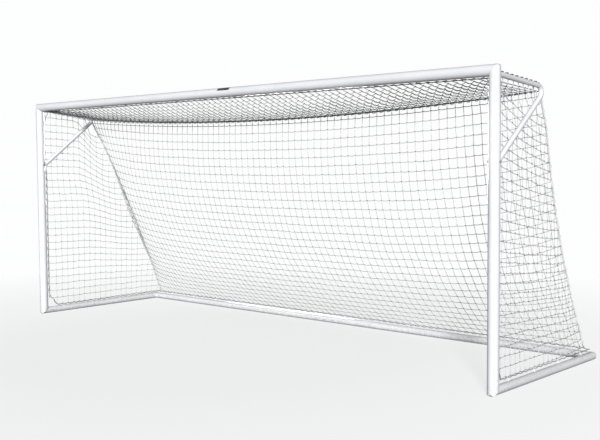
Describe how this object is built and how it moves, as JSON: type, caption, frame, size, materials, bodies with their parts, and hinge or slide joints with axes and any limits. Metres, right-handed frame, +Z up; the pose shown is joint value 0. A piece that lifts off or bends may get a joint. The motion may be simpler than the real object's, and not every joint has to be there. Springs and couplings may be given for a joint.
{
  "type": "soccer goal",
  "caption": "Round-tube soccer goal with top corner castings, a mitred ground frame, bent net arms that brace the posts, and a laced net.",
  "frame": {"origin": "middle of the goal line, on the ground, midway between the posts' axes", "axes": "+X along the goal line to the right seen from the field, +Y back into the goal, +Z up"},
  "size_m": [5.168, 1.4915, 2.076],
  "materials": {
    "white_frame": "white powder coat, semi-gloss",
    "bare_metal": "bare machined",
    "fixing_steel": "zinc-plated",
    "hook_plastic": "matte white",
    "net_twine": "knotted light grey twine",
    "black_cord": "braided black cord",
    "white_rope": "braided white rope"
  },
  "bodies": {
    "root": {"left_post": "white_frame", "right_post": "white_frame", "crossbar_left": "white_frame", "crossbar_right": "white_frame", "crossbar_sleeve": "bare_metal", "left_top_corner": "white_frame", "right_top_corner": "white_frame", "left_side_bar": "white_frame", "right_side_bar": "white_frame", "rear_bar_left": "white_frame", "rear_bar_right": "white_frame", "rear_bar_sleeve": "bare_metal", "left_foot_connector": "bare_metal", "right_foot_connector": "bare_metal", "left_rear_connector": "bare_metal", "right_rear_connector": "bare_metal", "left_net_arm": "white_frame", "right_net_arm": "white_frame", "left_brace_tongue": "bare_metal", "right_brace_tongue": "bare_metal", "brace_bolts": "fixing_steel", "brace_washers": "fixing_steel", "brace_nuts": "fixing_steel", "arm_screws": "fixing_steel", "corner_screws": "fixing_steel", "foot_screws": "fixing_steel", "rear_corner_screws": "fixing_steel", "sleeve_screws": "fixing_steel", "crossbar_hooks": "hook_plastic", "left_post_hooks": "hook_plastic", "right_post_hooks": "hook_plastic", "left_side_bar_hooks": "hook_plastic", "right_side_bar_hooks": "hook_plastic", "rear_bar_hooks": "hook_plastic", "back_net": "net_twine", "roof_net": "net_twine", "left_net": "net_twine", "right_net": "net_twine", "rear_top_rope": "black_cord", "left_corner_rope": "white_rope", "right_corner_rope": "white_rope", "left_arm_lace": "black_cord", "right_arm_lace": "black_cord", "frame_lace": "black_cord"}
  },
  "joints": []
}
